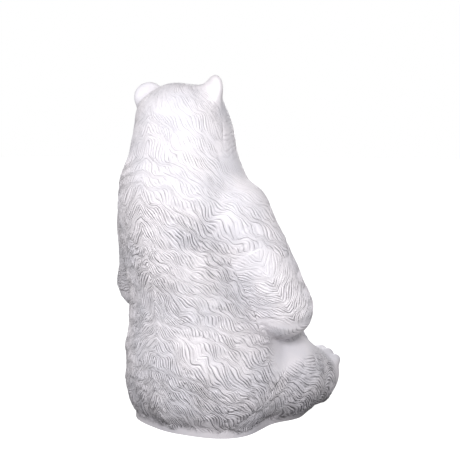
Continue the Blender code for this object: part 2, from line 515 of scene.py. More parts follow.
@dataclass
class Leg:
    """Shin and upright hind foot, with toes and claws along its top."""

    knee: Place = (0.158, -0.200, 0.134)
    ankle: Place = (0.170, -0.322, 0.114)
    radii: Pair = (0.118, 0.090)
    foot: Place = (0.182, -0.372, 0.122)
    foot_radii: Place = (0.062, 0.036, 0.072)
    foot_nod: float = 10.0
    toes: int = 5
    toe_step: float = 0.025
    toe_front: float = -0.378
    toe_height: float = 0.180
    toe_curve: float = 0.0070
    toe_radii: Place = (0.0150, 0.024, 0.019)
    claw: Claw = Claw((-0.014, 0.0), (-0.036, -0.008), 0.0052)
    foot_seam: float = 0.022
    toe_seam: float = 0.008
    claw_seam: float = 0.004

    def toe_places(self) -> list[Place]:
        """Find the centres of the toes, along an arc over the foot's top.

        Returns:
            A place for each toe.
        """
        places = []
        for i in range(self.toes):
            out = i - (self.toes - 1) / 2
            height = self.toe_height - abs(out) ** 1.6 * self.toe_curve
            places.append((self.foot[0] + out * self.toe_step, self.toe_front, height))
        return places

    def claws(self, q: np.ndarray) -> np.ndarray:
        """Measure the distance to the claws, for mirrored points."""
        return self.claw.distance(q, self.toe_places())

    def distance(self, q: np.ndarray) -> np.ndarray:
        """Measure the distance to the shin and foot.

        Args:
            q: Mirrored points, one to a row.

        Returns:
            A distance for each point.
        """
        d = limb(q, self.knee, self.ankle, *self.radii)
        foot = ball(q, self.foot, self.foot_radii, turned("X", self.foot_nod))
        for place in self.toe_places():
            foot = join(foot, ball(q, place, self.toe_radii), self.toe_seam)
        return join(join(d, foot, self.foot_seam), self.claws(q), self.claw_seam)


@dataclass
class Bear:
    """The whole animal as one volume."""

    trunk: Trunk = field(default_factory=Trunk)
    head: Head = field(default_factory=Head)
    arm: Arm = field(default_factory=Arm)
    leg: Leg = field(default_factory=Leg)
    head_seam: float = 0.045
    arm_seam: float = 0.025
    leg_seam: float = 0.05

    def claws(self, p: np.ndarray) -> np.ndarray:
        """Measure the distance to the claws of all four paws."""
        return np.minimum(self.arm.claws(self.arm.raised(p)), self.leg.claws(mirrored(p)))

    def distance(self, p: np.ndarray) -> np.ndarray:
        """Measure the distance to the bear, before its underside is cut flat.

        Args:
            p: Points, one to a row.

        Returns:
            A distance for each point.
        """
        d = join(self.trunk.distance(p), self.head.distance(p), self.head_seam)
        d = join(d, self.arm.distance(self.arm.raised(p)), self.arm_seam)
        return join(d, self.leg.distance(mirrored(p)), self.leg_seam)


# Fur


@dataclass
class Coat:
    """Rows of fur locks, as sizes in shares of the drawing and as lines over the bear.

    Strokes leave the row above, drop steeply, and run out along the row below. Across counts
    strokes and along counts rows. A few strokes side by side make a lock, and each lock ends a
    little above or below its neighbours.
    """

    bear: Bear
    # A row is about 67 mm high on the statue and a stroke about 15 mm wide.
    row: float = 0.0440
    stroke: float = 0.0098
    # Strokes in a lock.
    bunch: float = 3.0
    # How far a stroke runs sideways for each step down, and how much the row line adds to that.
    steep: float = 0.55
    sweep: float = 2.00
    # How much of that addition each Side takes, and how much the sideways run wanders.
    calm: tuple[float, ...] = (1.0, 0.9, 0.9, 0.3, 0.3)
    wander: float = 0.45
    # Sideways run in all on the leg, and on the face as a share of the trunk's.
    leg_lean: float = 0.10
    face_lean: float = 0.25
    # How far the rows fall for each step away from the spine or a limb's front.
    row_fall: float = 0.16
    # Share of a row by which a lock may end higher or lower.
    stagger: float = 0.30
    # Depths of the strokes, the folds between locks and the rows' edges, and of the broad swell.
    cut_depth: float = 0.0032
    fold_depth: float = 0.0016
    row_depth: float = 0.0020
    swell: float = 0.0022
    # The trunk's fur turns about an axis at this y, and its rows are counted down from the crown.
    trunk_axis: float = 0.02
    crown: float = 0.92
    # The face's fur turns about an axis at this height, and its rows start this far ahead.
    face_axis: float = -0.03
    face_start: float = -0.25
    # Angle that the leg's strokes are counted from, in radians below the line straight ahead.
    leg_start: float = 0.6
    # Radii that turn angles into widths, on the trunk, the two arm parts and the face.
    trunk_girth: float = 0.205
    arm_girth: float = 0.085
    fore_girth: float = 0.060
    face_girth: float = 0.11
    # Directions that the fur of the upper arm and of the forearm runs in towards.
    arm_facing: Place = (0.63, 0.77, 0.1)
    fore_facing: Place = (0.6, -0.2, 0.8)
    # Point in the haunch, in y and z, that the lower leg's fur fans out from.
    fan: Pair = (0.005, 0.264)
    # Width of the leg's strokes and height of its rows, against the trunk's.
    leg_scale: Pair = (0.80, 1.35)

    def drift(self, along: np.ndarray, sway: np.ndarray, lean: float) -> np.ndarray:
        """Find how far a stroke has moved outwards, in strokes, at a count of rows.

        Args:
            along: Rows counted from the top, with fractions.
            sway: How strongly it swings in and out, about 1.
            lean: How far it moves outwards in all for each step down.

        Returns:
            Strokes moved outwards.
        """
        turn = 2.0 * math.pi * along
        swing = (15 * np.sin(turn) + 3 * np.sin(2 * turn) + np.sin(3 * turn) / 3) / (64 * math.pi)
        return self.row / self.stroke * (lean * along + self.sweep * sway * swing)

    def trunk_lines(self, p: np.ndarray) -> tuple[np.ndarray, np.ndarray]:
        """Lay the lines over the trunk, outwards and down from the spine.

        Args:
            p: Points, one to a row.

        Returns:
            Across and along for each point.
        """
        out = np.arctan2(np.abs(p[:, 0]), p[:, 1] - self.trunk_axis) * self.trunk_girth
        down = self.crown - p[:, 2] - self.row_fall * out
        out += 0.006 * ripple(p, 0.13, 3) + 0.0026 * ripple(p, 0.040, 4)
        down += 0.012 * ripple(p, 0.26, 1) + 0.0090 * ripple(p, 0.095, 2) + 0.0032 * ripple(p, 0.040, 5)
        return out / self.stroke, down / self.row

    def limb_lines(self, q: np.ndarray, start: Place, end: Place, facing: Place, girth: float,
                   seed: int) -> tuple[np.ndarray, np.ndarray]:
        """Lay the lines along a limb, in towards the line that faces one way.

        Args:
            q: Mirrored points, one to a row.
            start: Where the limb's axis starts.
            end: Where it ends.
            facing: Direction that the line faces.
            girth: Radius that turns angles into widths.
            seed: Seed of the wander.

        Returns:
            Across and along for each point.
        """
        a = np.array(start)
        axis = np.array(end) - a
        axis = axis / np.linalg.norm(axis)
        front = np.array(facing) - axis * (np.array(facing) @ axis)
        front = front / np.linalg.norm(front)
        other = np.cross(axis, front)
        v = q - a
        out = np.abs(np.arctan2(v @ other, v @ front)) * girth
        down = v @ axis + self.row_fall * out
        out += 0.005 * ripple(q, 0.12, seed) + 0.002 * ripple(q, 0.045, seed + 3)
        down += 0.010 * ripple(q, 0.22, seed + 1) + 0.006 * ripple(q, 0.08, seed + 2)
        return -out / self.stroke, down / self.row

    def leg_lines(self, q: np.ndarray) -> tuple[np.ndarray, np.ndarray]:
        """Fan the lines over the lower leg, out from a point in the haunch.

        Args:
            q: Mirrored points, one to a row.

        Returns:
            Across and along for each point.
        """
        forward = self.fan[0] - q[:, 1]
        up = q[:, 2] - self.fan[1]
        turn = np.arctan2(up, forward) + self.leg_start
        turn = turn + 0.05 * ripple(q, 0.15, 31) + 0.012 * ripple(q, 0.05, 34)
        away = np.hypot(forward, up) + 0.010 * ripple(q, 0.2, 32) + 0.006 * ripple(q, 0.07, 33)
        along = away / (self.leg_scale[1] * self.row)
        whole = np.floor(along)
        reach = self.leg_scale[1] * self.row * (whole + 0.5 + ramp(along - whole, 0.75, 1.0))
        return turn * reach / (self.leg_scale[0] * self.stroke), along

    def face_lines(self, p: np.ndarray) -> tuple[np.ndarray, np.ndarray]:
        """Run the lines back from the nose over the face.

        Args:
            p: Points, one to a row.

        Returns:
            Across and along for each point.
        """
        h = self.bear.head.local(p)
        turn = np.arctan2(np.abs(h[:, 0]), h[:, 2] - self.face_axis)
        back = h[:, 1] - self.face_start + 0.006 * ripple(p, 0.12, 41)
        return turn * self.face_girth / self.stroke, back / self.row

    def shares(self, p: np.ndarray) -> np.ndarray:
        """Share the surface out among the parts of the coat.

        Args:
            p: Points, one to a row.

        Returns:
            One column of weights for each Side, adding up to 1.
        """
        q = mirrored(p)
        arm = self.bear.arm
        trunk_far = self.bear.trunk.distance(p)
        a = arm.raised(p)
        arm_far = arm.distance(a)
        leg_far = self.bear.leg.distance(q)
        on_arm = ramp(np.minimum(trunk_far, leg_far) - arm_far, -0.003, 0.003)
        on_arm *= ramp(q[:, 2] + 0.02 * ripple(q, 0.12, 71), 0.545, 0.520)
        fore = ramp(arm.upper(a) - arm.lower(a), -0.006, 0.006)
        parting = (0.078 - q[:, 1]) - 1.2 * (q[:, 2] - 0.05) + 0.006 * ripple(q, 0.08, 72)
        on_leg = ramp(parting, -0.004, 0.004) * ramp(q[:, 2], 0.30, 0.27) * ramp(q[:, 0], 0.06, 0.08)
        h = self.bear.head.local(p)
        on_face = ramp(h[:, 1] + 0.25 * h[:, 2] + 0.012 * ripple(q, 0.06, 73), 0.0, -0.03)
        on_face *= ramp(h[:, 2], -0.150, -0.09)
        out = np.zeros((len(p), len(Side)))
        out[:, Side.ARM.value] = on_arm * (1.0 - fore)
        out[:, Side.FOREARM.value] = on_arm * fore
        rest = 1.0 - on_arm
        out[:, Side.FACE.value] = rest * on_face
        rest = rest * (1.0 - on_face)
        out[:, Side.LEG.value] = rest * on_leg
        out[:, Side.TRUNK.value] = rest * (1.0 - on_leg)
        return out

    def lines(self, p: np.ndarray) -> list[tuple[np.ndarray, np.ndarray]]:
        """Lay every part's strokes and rows at all the points.

        Args:
            p: Points, one to a row.

        Returns:
            Strokes and rows, both counted with fractions, for each Side in order.
        """
        q = mirrored(p)
        arm = self.bear.arm
        a = arm.raised(p)
        laid = [
            self.trunk_lines(p),
            self.limb_lines(a, arm.shoulder, arm.elbow, self.arm_facing, self.arm_girth, 11),
            self.limb_lines(a, arm.fold, arm.wrist, self.fore_facing, self.fore_girth, 21),
            self.leg_lines(q),
            self.face_lines(p),
        ]
        sway = 1.0 + self.wander * ripple(q, 0.18, 81)
        mean = self.steep + self.sweep * 5 / 16
        lean = [mean, mean, mean, self.leg_lean, self.face_lean * mean]
        moved = [self.drift(rows, sway * self.calm[i], lean[i]) for i, (_, rows) in enumerate(laid)]
        return [(strokes - moved[i], rows) for i, (strokes, rows) in enumerate(laid)]

    @staticmethod
    def slid(count: np.ndarray, row: np.ndarray, seed: int) -> np.ndarray:
        """Draw a value for each stroke or lock that changes smoothly from one row to the next.

        Args:
            count: Strokes or locks counted.
            row: Rows counted.
            seed: Seed of the draw.

        Returns:
            Values from 0 to 1.
        """
        one = np.floor(count)
        whole = np.floor(row)
        share = ramp(row - whole, 0.3, 0.7)
        return lot(one, whole, seed) * (1.0 - share) + lot(one, whole + 1, seed) * share

    def strength(self, p: np.ndarray, shares: np.ndarray) -> np.ndarray:
        """Say how deeply the fur is cut at each place.

        Args:
            p: Points, one to a row.
            shares: Weights of the parts, as shares() gives them.

        Returns:
            A value for each point, 0 where the surface is left smooth.
        """
        q = mirrored(p)
        x, y, z = q[:, 0], q[:, 1], q[:, 2]
        head = self.bear.head
        h = mirrored(head.local(p))
        fan = np.arctan2(z - self.fan[1], self.fan[0] - y)
        throat = ramp(h[:, 1], 0.02, -0.05) * ramp(h[:, 2], -0.26, -0.11)
        level = [
            (0.40 + 0.20 * ramp(z, 0.86, 0.76) + 0.40 * ramp(z, 0.74, 0.60)) * (1.0 - 0.65 * throat),
            0.45 + 0.55 * ramp(z, 0.52, 0.42),
            np.full(len(p), 0.8),
            ramp(fan, -0.08, -0.34),
            0.30 * ramp(h[:, 1], -0.21, -0.12) + 0.05,
        ]
        out = sum(shares[:, i] * level[i] for i in range(len(level)))

        # Deeper low on the seat, and gone just above the floor.
        foot = self.bear.trunk.floor
        out *= 1.0 + 0.3 * ramp(z, 0.26, 0.08)
        out *= ramp(z + 0.004 * ripple(p, 0.05, 52), foot + 0.010, foot + self.bear.trunk.band)

        # The top of the thigh is bare beside the arm.
        bare = ramp(z + 0.25 * (y + 0.10), 0.175, 0.205) * ramp(y, -0.015, -0.065)
        off_arm = 1.0 - shares[:, Side.ARM.value] - shares[:, Side.FOREARM.value]
        bare *= ramp(x, 0.10, 0.13) * ramp(z, 0.31, 0.28) * off_arm
        out *= 1.0 - bare

        # Weak on ears and shoulders, none on nose, eyes and claws, and little on hind feet and paws.
        ear = ball(h, head.ear, head.ear_radii, turned("Z", head.ear_turn))
        out *= 1.0 - 0.75 * ramp(ear, 0.012, 0.002)
        out *= 1.0 - 0.40 * ramp(x, 0.15, 0.21) * ramp(z, 0.50, 0.56)
        out *= ramp(head.painted(p), 0.0, 0.010)
        out *= ramp(self.bear.claws(p), 0.002, 0.020)
        out *= 1.0 - 0.92 * ramp(y, -0.330, -0.352) * ramp(z, 0.24, 0.21)
        out *= 1.0 - 0.75 * ramp(y, -0.262, -0.290) * shares[:, Side.FOREARM.value]
        top = np.max(shares, axis=1)
        return out * ramp(top, 0.5, 0.95) * np.clip(1.0 + 0.20 * ripple(p, 0.16, 51), 0.5, 1.5)

    def relief(self, p: np.ndarray) -> np.ndarray:
        """Find how far the carved surface stands off the smooth one.

        Args:
            p: Points on the smooth surface, one to a row.

        Returns:
            Heights, in shares of the drawing.
        """
        shares = self.shares(p)
        strength = self.strength(p, shares)
        height = np.zeros(len(p))
        for i, (stroke, row) in enumerate(self.lines(p)):
            used = (shares[:, i] > 0.001) & (strength > 0.0)
            height[used] += shares[used, i] * self.carving(stroke[used], row[used])
        return strength * height + np.minimum(strength, 1.0) ** 0.5 * self.swell * ripple(p, 0.11, 61)

    def depths(self, stroke: np.ndarray, row: np.ndarray) -> tuple[np.ndarray, np.ndarray]:
        """Find how deep the strokes and the folds between locks are cut.

        Strokes are deepest where they drop and fade where they bunch along the row line, and the
        folds are deepest there.

        Args:
            stroke: Strokes counted.
            row: Rows counted.

        Returns:
            Depth of the strokes and of the folds, in shares of the drawing.
        """
        flat = np.cos(math.pi * row) ** 2
        run = self.steep + self.sweep * flat ** 3
        narrow = 1.0 / np.sqrt(1.0 + run * run)
        cut = self.cut_depth * (1.0 - 0.4 * flat ** 2) * np.minimum(narrow * 1.6, 1.0)
        fold = self.fold_depth * (0.10 + 0.90 * flat ** 2) * np.minimum(narrow * 2.4, 1.0)
        return cut, fold

    def carving(self, stroke: np.ndarray, row: np.ndarray) -> np.ndarray:
        """Find the height of the locks, their strokes and the rows' lower edges.

        Args:
            stroke: Strokes counted.
            row: Rows counted.

        Returns:
            Heights, in shares of the drawing.
        """
        cut, fold = self.depths(stroke, row)
        lock = stroke / self.bunch

        # No stroke or fold is as deep as the next one.
        cut = cut * (0.35 + 1.1 * self.slid(stroke, 1.7 * row, 2))
        fold = fold * (0.1 + 1.2 * ramp(self.slid(lock, row, 4), 0.2, 0.8))
        height = cut * (rounded(stroke - np.floor(stroke), 0.85) - 0.75)
        height += fold * (rounded(lock - np.floor(lock), 0.75) - 0.75)

        # Each lock thickens down its row and drops off at its own lower end.
        tier = row + 2.0 * self.stagger * (self.slid(lock, row, 1) - 0.5)
        step = tier - np.floor(tier)
        ledge = step ** 0.8 * ramp(step, 1.0, 0.80)
        return height + self.row_depth * (ledge * (0.15 + 0.85 * self.slid(lock, row, 3)) - 0.30)


# Mesh work


@dataclass
class Mesher:
    """Turns the bear's volume into a mesh."""

    bear: Bear
    # A cell is about 12 mm on the statue, and the net is split twice after it.
    cell: float = 0.0080
    low: Place = (-0.36, -0.46, -0.012)
    high: Place = (0.36, 0.26, 1.05)

    def sampled(self) -> np.ndarray:
        """Sample the distance on a grid, a layer at a time.

        Returns:
            The grid of distances.
        """
        axes = [np.arange(a, b + self.cell, self.cell) for a, b in zip(self.low, self.high)]
        grid = np.empty([len(a) for a in axes])
        y, z = np.meshgrid(axes[1], axes[2], indexing="ij")
        layer = np.stack([np.zeros(y.size), y.ravel(), z.ravel()], axis=1)
        for i, x in enumerate(axes[0]):
            layer[:, 0] = x
            grid[i] = self.bear.distance(layer).reshape(y.shape)
        return grid

    def netted(self) -> tuple[np.ndarray, np.ndarray]:
        """Net the zero surface, with one point for each cell that it crosses.

        Returns:
            Points, and quads of point numbers.
        """
        grid = self.sampled()
        cells = np.array(grid.shape) - 1
        total = np.zeros((int(cells.prod()), 3))
        hits = np.zeros(int(cells.prod()))
        quads = []
        for axis in range(3):
            first = np.take(grid, range(0, grid.shape[axis] - 1), axis)
            second = np.take(grid, range(1, grid.shape[axis]), axis)
            nodes = np.argwhere((first < 0) != (second < 0))
            a, b = [k for k in range(3) if k != axis]
            whole = (nodes[:, a] > 0) & (nodes[:, b] > 0)
            whole &= (nodes[:, a] < cells[a]) & (nodes[:, b] < cells[b])
            nodes = nodes[whole]
            start = first[tuple(nodes.T)]
            end = second[tuple(nodes.T)]
            point = nodes.astype(float)
            point[:, axis] += start / (start - end)
            ring = []
            for step_a, step_b in ((0, 0), (1, 0), (1, 1), (0, 1)):
                home = nodes.copy()
                home[:, a] -= step_a
                home[:, b] -= step_b
                flat = np.ravel_multi_index(tuple(home.T), tuple(cells))
                np.add.at(total, flat, point)
                np.add.at(hits, flat, 1)
                ring.append(flat)
            ring = np.stack(ring, axis=1)
            flip = (start < 0) == (axis == 1)
            ring[flip] = ring[flip][:, ::-1]
            quads.append(ring)
        used = np.nonzero(hits)[0]
        number = np.full(len(hits), -1)
        number[used] = np.arange(len(used))
        points = np.array(self.low) + total[used] / hits[used][:, None] * self.cell
        return points, number[np.concatenate(quads)]

    def slope(self, p: np.ndarray) -> tuple[np.ndarray, np.ndarray]:
        """Measure the distance and the way out at each point.

        Args:
            p: Points, one to a row.

        Returns:
            Distances, and unit vectors that point out of the bear.
        """
        here = self.bear.distance(p)
        small = 0.0008
        steps = [self.bear.distance(p + np.eye(3)[k] * small) - here for k in range(3)]
        way = np.stack(steps, axis=1)
        return here, way / np.maximum(np.linalg.norm(way, axis=1, keepdims=True), 1e-12)

    @staticmethod
    def split(points: np.ndarray, quads: np.ndarray) -> tuple[np.ndarray, np.ndarray]:
        """Split each quad in four.

        Args:
            points: Rows of values that belong to the points.
            quads: Quads of point numbers.

        Returns:
            The longer rows, and the new quads.
        """
        edges = np.stack([quads, np.roll(quads, -1, axis=1)], axis=2).reshape(-1, 2)
        edges = np.sort(edges, axis=1)
        key = edges[:, 0] * len(points) + edges[:, 1]
        kept, first, back = np.unique(key, return_index=True, return_inverse=True)
        middles = points[edges[first]].mean(axis=1)
        centres = points[quads].mean(axis=1)
        side = (len(points) + back).reshape(-1, 4)
        centre = len(points) + len(kept) + np.arange(len(quads))
        parts = [np.stack([quads[:, k], side[:, k], centre, side[:, k - 1]], axis=1) for k in range(4)]
        return np.concatenate([points, middles, centres]), np.concatenate(parts)

    def fine(self) -> tuple[np.ndarray, np.ndarray, np.ndarray]:
        """Net the bear and split the net twice, held to the true surface.

        Returns:
            Points, unit vectors out of the surface, and quads.
        """
        points, quads = self.netted()
        far, way = self.slope(points)
        points = points - way * far[:, None]
        points, quads = self.split(points, quads)
        far, way = self.slope(points)
        points = points - way * far[:, None]
        rows, quads = self.split(np.hstack([points, way]), quads)
        points = rows[:, :3]
        way = rows[:, 3:] / np.linalg.norm(rows[:, 3:], axis=1, keepdims=True)
        points = points - way * self.bear.distance(points)[:, None]
        return points, way, quads


def made_mesh(name: str, points: np.ndarray, quads: np.ndarray) -> bpy.types.Mesh:
    """Fill a Blender mesh from arrays.

    Args:
        name: Name of the mesh.
        points: Points, one to a row.
        quads: Quads of point numbers.

    Returns:
        The mesh.
    """
    mesh = bpy.data.meshes.new(name)
    mesh.vertices.add(len(points))
    mesh.vertices.foreach_set("co", points.astype(np.float32).ravel())
    mesh.loops.add(quads.size)
    mesh.loops.foreach_set("vertex_index", quads.astype(np.int32).ravel())
    mesh.polygons.add(len(quads))
    mesh.polygons.foreach_set("loop_start", np.arange(0, quads.size, 4, dtype=np.int32))
    mesh.update(calc_edges=True)
    mesh.validate()
    return mesh


def thinned(mesh: bpy.types.Mesh, triangles: int) -> bpy.types.Mesh:
    """Thin a mesh to a count of triangles, kept denser where the surface bends.

    Args:
        mesh: The dense mesh of quads, which is removed.
        triangles: The count wanted.

    Returns:
        The thinned mesh.
    """
    holder = bpy.data.objects.new("dense", mesh)
    bpy.context.scene.collection.objects.link(holder)
    thin = holder.modifiers.new("thin", "DECIMATE")
    thin.ratio = triangles / (2 * len(mesh.polygons))
    graph = bpy.context.evaluated_depsgraph_get()
    out = bpy.data.meshes.new_from_object(holder.evaluated_get(graph))
    bpy.data.objects.remove(holder)
    bpy.data.meshes.remove(mesh)
    return out


def settle(mesh: bpy.types.Mesh, floor: float) -> None:
    """Cut a mesh flat at the floor, close the cut and leave triangles only.

    Args:
        mesh: The mesh, which is changed.
        floor: Height of the cut.
    """
    touch = 1e-6
    weld = 0.0008
    work = bmesh.new()
    work.from_mesh(mesh)
    everything = work.verts[:] + work.edges[:] + work.faces[:]
    bmesh.ops.bisect_plane(work, geom=everything, plane_co=(0, 0, floor), plane_no=(0, 0, 1),
                           clear_inner=True)
    rim = [v for v in work.verts if abs(v.co.z - floor) < touch]
    bmesh.ops.remove_doubles(work, verts=rim, dist=weld)
    bmesh.ops.holes_fill(work, edges=[e for e in work.edges if e.is_boundary])
    bmesh.ops.triangulate(work, faces=work.faces[:])
    for edge in work.edges:
        edge.smooth = not all(abs(v.co.z - floor) < touch for v in edge.verts)
    for face in work.faces:
        face.smooth = True
    work.to_mesh(mesh)
    work.free()


@dataclass
class CastBear:
    """The statue: net, fur, thinning, cut underside and what its paint needs to know."""

    bear: Bear
    coat: Coat
    # One piece may have 200,000 triangles.
    triangles: int = 198000
    # Distance out from the surface within which another form makes it a crease.
    hollow: float = 0.020

    def place(self, mesh: bpy.types.Mesh, bounds: Span, smooth: np.ndarray) -> None:
        """Bring a mesh from the drawing to the CAD solid's size and place.

        Args:
            mesh: The mesh, which is changed.
            bounds: Lowest and highest corners of the CAD solid.
            smooth: Points of the smooth surface, in the drawing.
        """
        low = smooth.min(axis=0)
        high = smooth.max(axis=0)
        low[2] = self.bear.trunk.floor
        scale = (bounds[1][2] - bounds[0][2]) / (high[2] - low[2])
        middle = (low + high) / 2.0
        middle[2] = low[2]
        centre = (np.array(bounds[0]) + np.array(bounds[1])) / 2.0
        centre[2] = bounds[0][2]
        points = read_points(mesh)
        points = (points - middle) * scale + centre
        mesh.vertices.foreach_set("co", points.astype(np.float32).ravel())
        mesh.update()

    def note(self, mesh: bpy.types.Mesh, mesher: Mesher) -> None:
        """Write what the paint needs onto the mesh, while it is still in the drawing.

        Args:
            mesh: The mesh of triangles.
            mesher: Gives the way out of the surface.
        """
        p = read_points(mesh)
        shares = self.coat.shares(p)
        corner = np.empty(len(mesh.loops), np.int32)
        mesh.loops.foreach_get("vertex_index", corner)
        owner = shares[corner].reshape(-1, 3, len(Side)).sum(axis=1).argmax(axis=1).repeat(3)
        strokes, rows = (np.stack(part, axis=1) for part in zip(*self.coat.lines(p)))
        middle = p[corner].reshape(-1, 3, 3).mean(axis=1)
        at_middle = self.coat.lines(middle)
        slides = [self.coat.slid(laid[0] / self.coat.bunch, laid[1], 1) for laid in at_middle]
        slide = np.stack(slides, axis=1)[np.arange(len(middle)), owner[::3]].repeat(3)
        stroke = strokes[corner, owner]
        row = rows[corner, owner]
        strength = self.coat.strength(p, shares)[corner]
        cut, fold = self.coat.depths(stroke, row)
        store(mesh, "stroke", "CORNER", stroke)
        store(mesh, "row", "CORNER", row + 2.0 * self.coat.stagger * (slide - 0.5))
        store(mesh, "cut", "CORNER", cut / self.coat.cut_depth * strength)
        store(mesh, "fold", "CORNER", fold / self.coat.fold_depth * strength)
        # How closed in each point is, which the paint turns into painted shade in the creases.
        _, way = mesher.slope(p)
        near = self.bear.distance(p + way * self.hollow)
        store(mesh, "crease", "POINT", np.clip((self.hollow - near) / self.hollow, 0.0, 1.0))
        store(mesh, "paint", "POINT", self.bear.head.painted(p))
        store(mesh, "claw", "POINT", self.bear.claws(p))

    def build(self, bounds: Span, material: bpy.types.Material) -> bpy.types.Object:
        """Make the statue.

        Args:
            bounds: Lowest and highest corners of the CAD solid.
            material: Its finish.

        Returns:
            The statue's object.
        """
        mesher = Mesher(self.bear)
        points, way, quads = mesher.fine()
        LOG.info("net of %d quads", len(quads))
        carved = points + way * self.coat.relief(points)[:, None]
        mesh = thinned(made_mesh("carved_bear", carved, quads), self.triangles)
        settle(mesh, self.bear.trunk.floor)
        self.note(mesh, mesher)
        self.place(mesh, bounds, points)
        mesh.name = "carved_bear"
        piece = bpy.data.objects.new("carved_bear", mesh)
        bpy.context.scene.collection.objects.link(piece)
        mesh.materials.append(material)
        return piece


def read_points(mesh: bpy.types.Mesh) -> np.ndarray:
    """Read a mesh's points.

    Args:
        mesh: The mesh.

    Returns:
        The points, one to a row.
    """
    flat = np.empty(len(mesh.vertices) * 3, np.float32)
    mesh.vertices.foreach_get("co", flat)
    return flat.reshape(-1, 3).astype(float)


def store(mesh: bpy.types.Mesh, name: str, domain: str, values: np.ndarray) -> None:
    """Keep one number for each point or corner as a named attribute.

    Args:
        mesh: The mesh.
        name: Name of the attribute.
        domain: POINT or CORNER.
        values: The numbers.
    """
    layer = mesh.attributes.new(name, "FLOAT", domain)
    layer.data.foreach_set("value", values.astype(np.float32))


# Finishes


def linear(code: str) -> tuple[float, float, float, float]:
    """Turn an sRGB colour into the linear one that shaders take.

    Args:
        code: The colour as #RRGGBB.

    Returns:
        Red, green, blue and an alpha of 1.
    """
    parts = [int(code[i:i + 2], 16) / 255.0 for i in (1, 3, 5)]
    bent = [c / 12.92 if c <= 0.04045 else ((c + 0.055) / 1.055) ** 2.4 for c in parts]
    return (bent[0], bent[1], bent[2], 1.0)


def spaced(millimetres: float) -> float:
    """Turn a pattern's real spacing into a texture scale, in repeats to a metre."""
    return 1000.0 / millimetres


@dataclass
class Graph:
    """A material's node tree, with one way to add a node."""

    tree: bpy.types.NodeTree

    def add(self, kind: str, settings: dict | None = None, **inputs: object) -> bpy.types.NodeSocket:
        """Add a node, set it, and link or fill its sockets.

        Args:
            kind: The node's type name.
            settings: Properties of the node, and "out" for the socket to return.
            inputs: Values or sockets, by socket number as i0, i1 and so on.

        Returns:
            The socket asked for, the first one if none is named.
        """
        node = self.tree.nodes.new(kind)
        out = 0
        for key, value in (settings or {}).items():
            if key == "out":
                out = value
            else:
                setattr(node, key, value)
        for key, value in inputs.items():
            socket = node.inputs[int(key[1:])]
            if isinstance(value, bpy.types.NodeSocket):
                self.tree.links.new(value, socket)
            else:
                socket.default_value = value
        return node.outputs[out]

    def math(self, kind: str, a: object, b: object = 0.0, c: object = 0.0) -> bpy.types.NodeSocket:
        """Add a Math node on up to three values."""
        return self.add("ShaderNodeMath", {"operation": kind}, i0=a, i1=b, i2=c)

    def mix(self, share: object, a: object, b: object) -> bpy.types.NodeSocket:
        """Mix two colours."""
        return self.add("ShaderNodeMix", {"data_type": "RGBA", "out": 2}, i0=share, i6=a, i7=b)

    def between(self, value: object, low: float, high: float, to_low: float = 0.0,
                to_high: float = 1.0) -> bpy.types.NodeSocket:
        """Map a range smoothly onto another.

        Args:
            value: The value to map.
            low: Start of its range.
            high: End of its range.
            to_low: What low becomes.
            to_high: What high becomes.

        Returns:
            The mapped value's socket.
        """
        return self.add("ShaderNodeMapRange", {"interpolation_type": "SMOOTHSTEP"}, i0=value, i1=low,
                        i2=high, i3=to_low, i4=to_high)


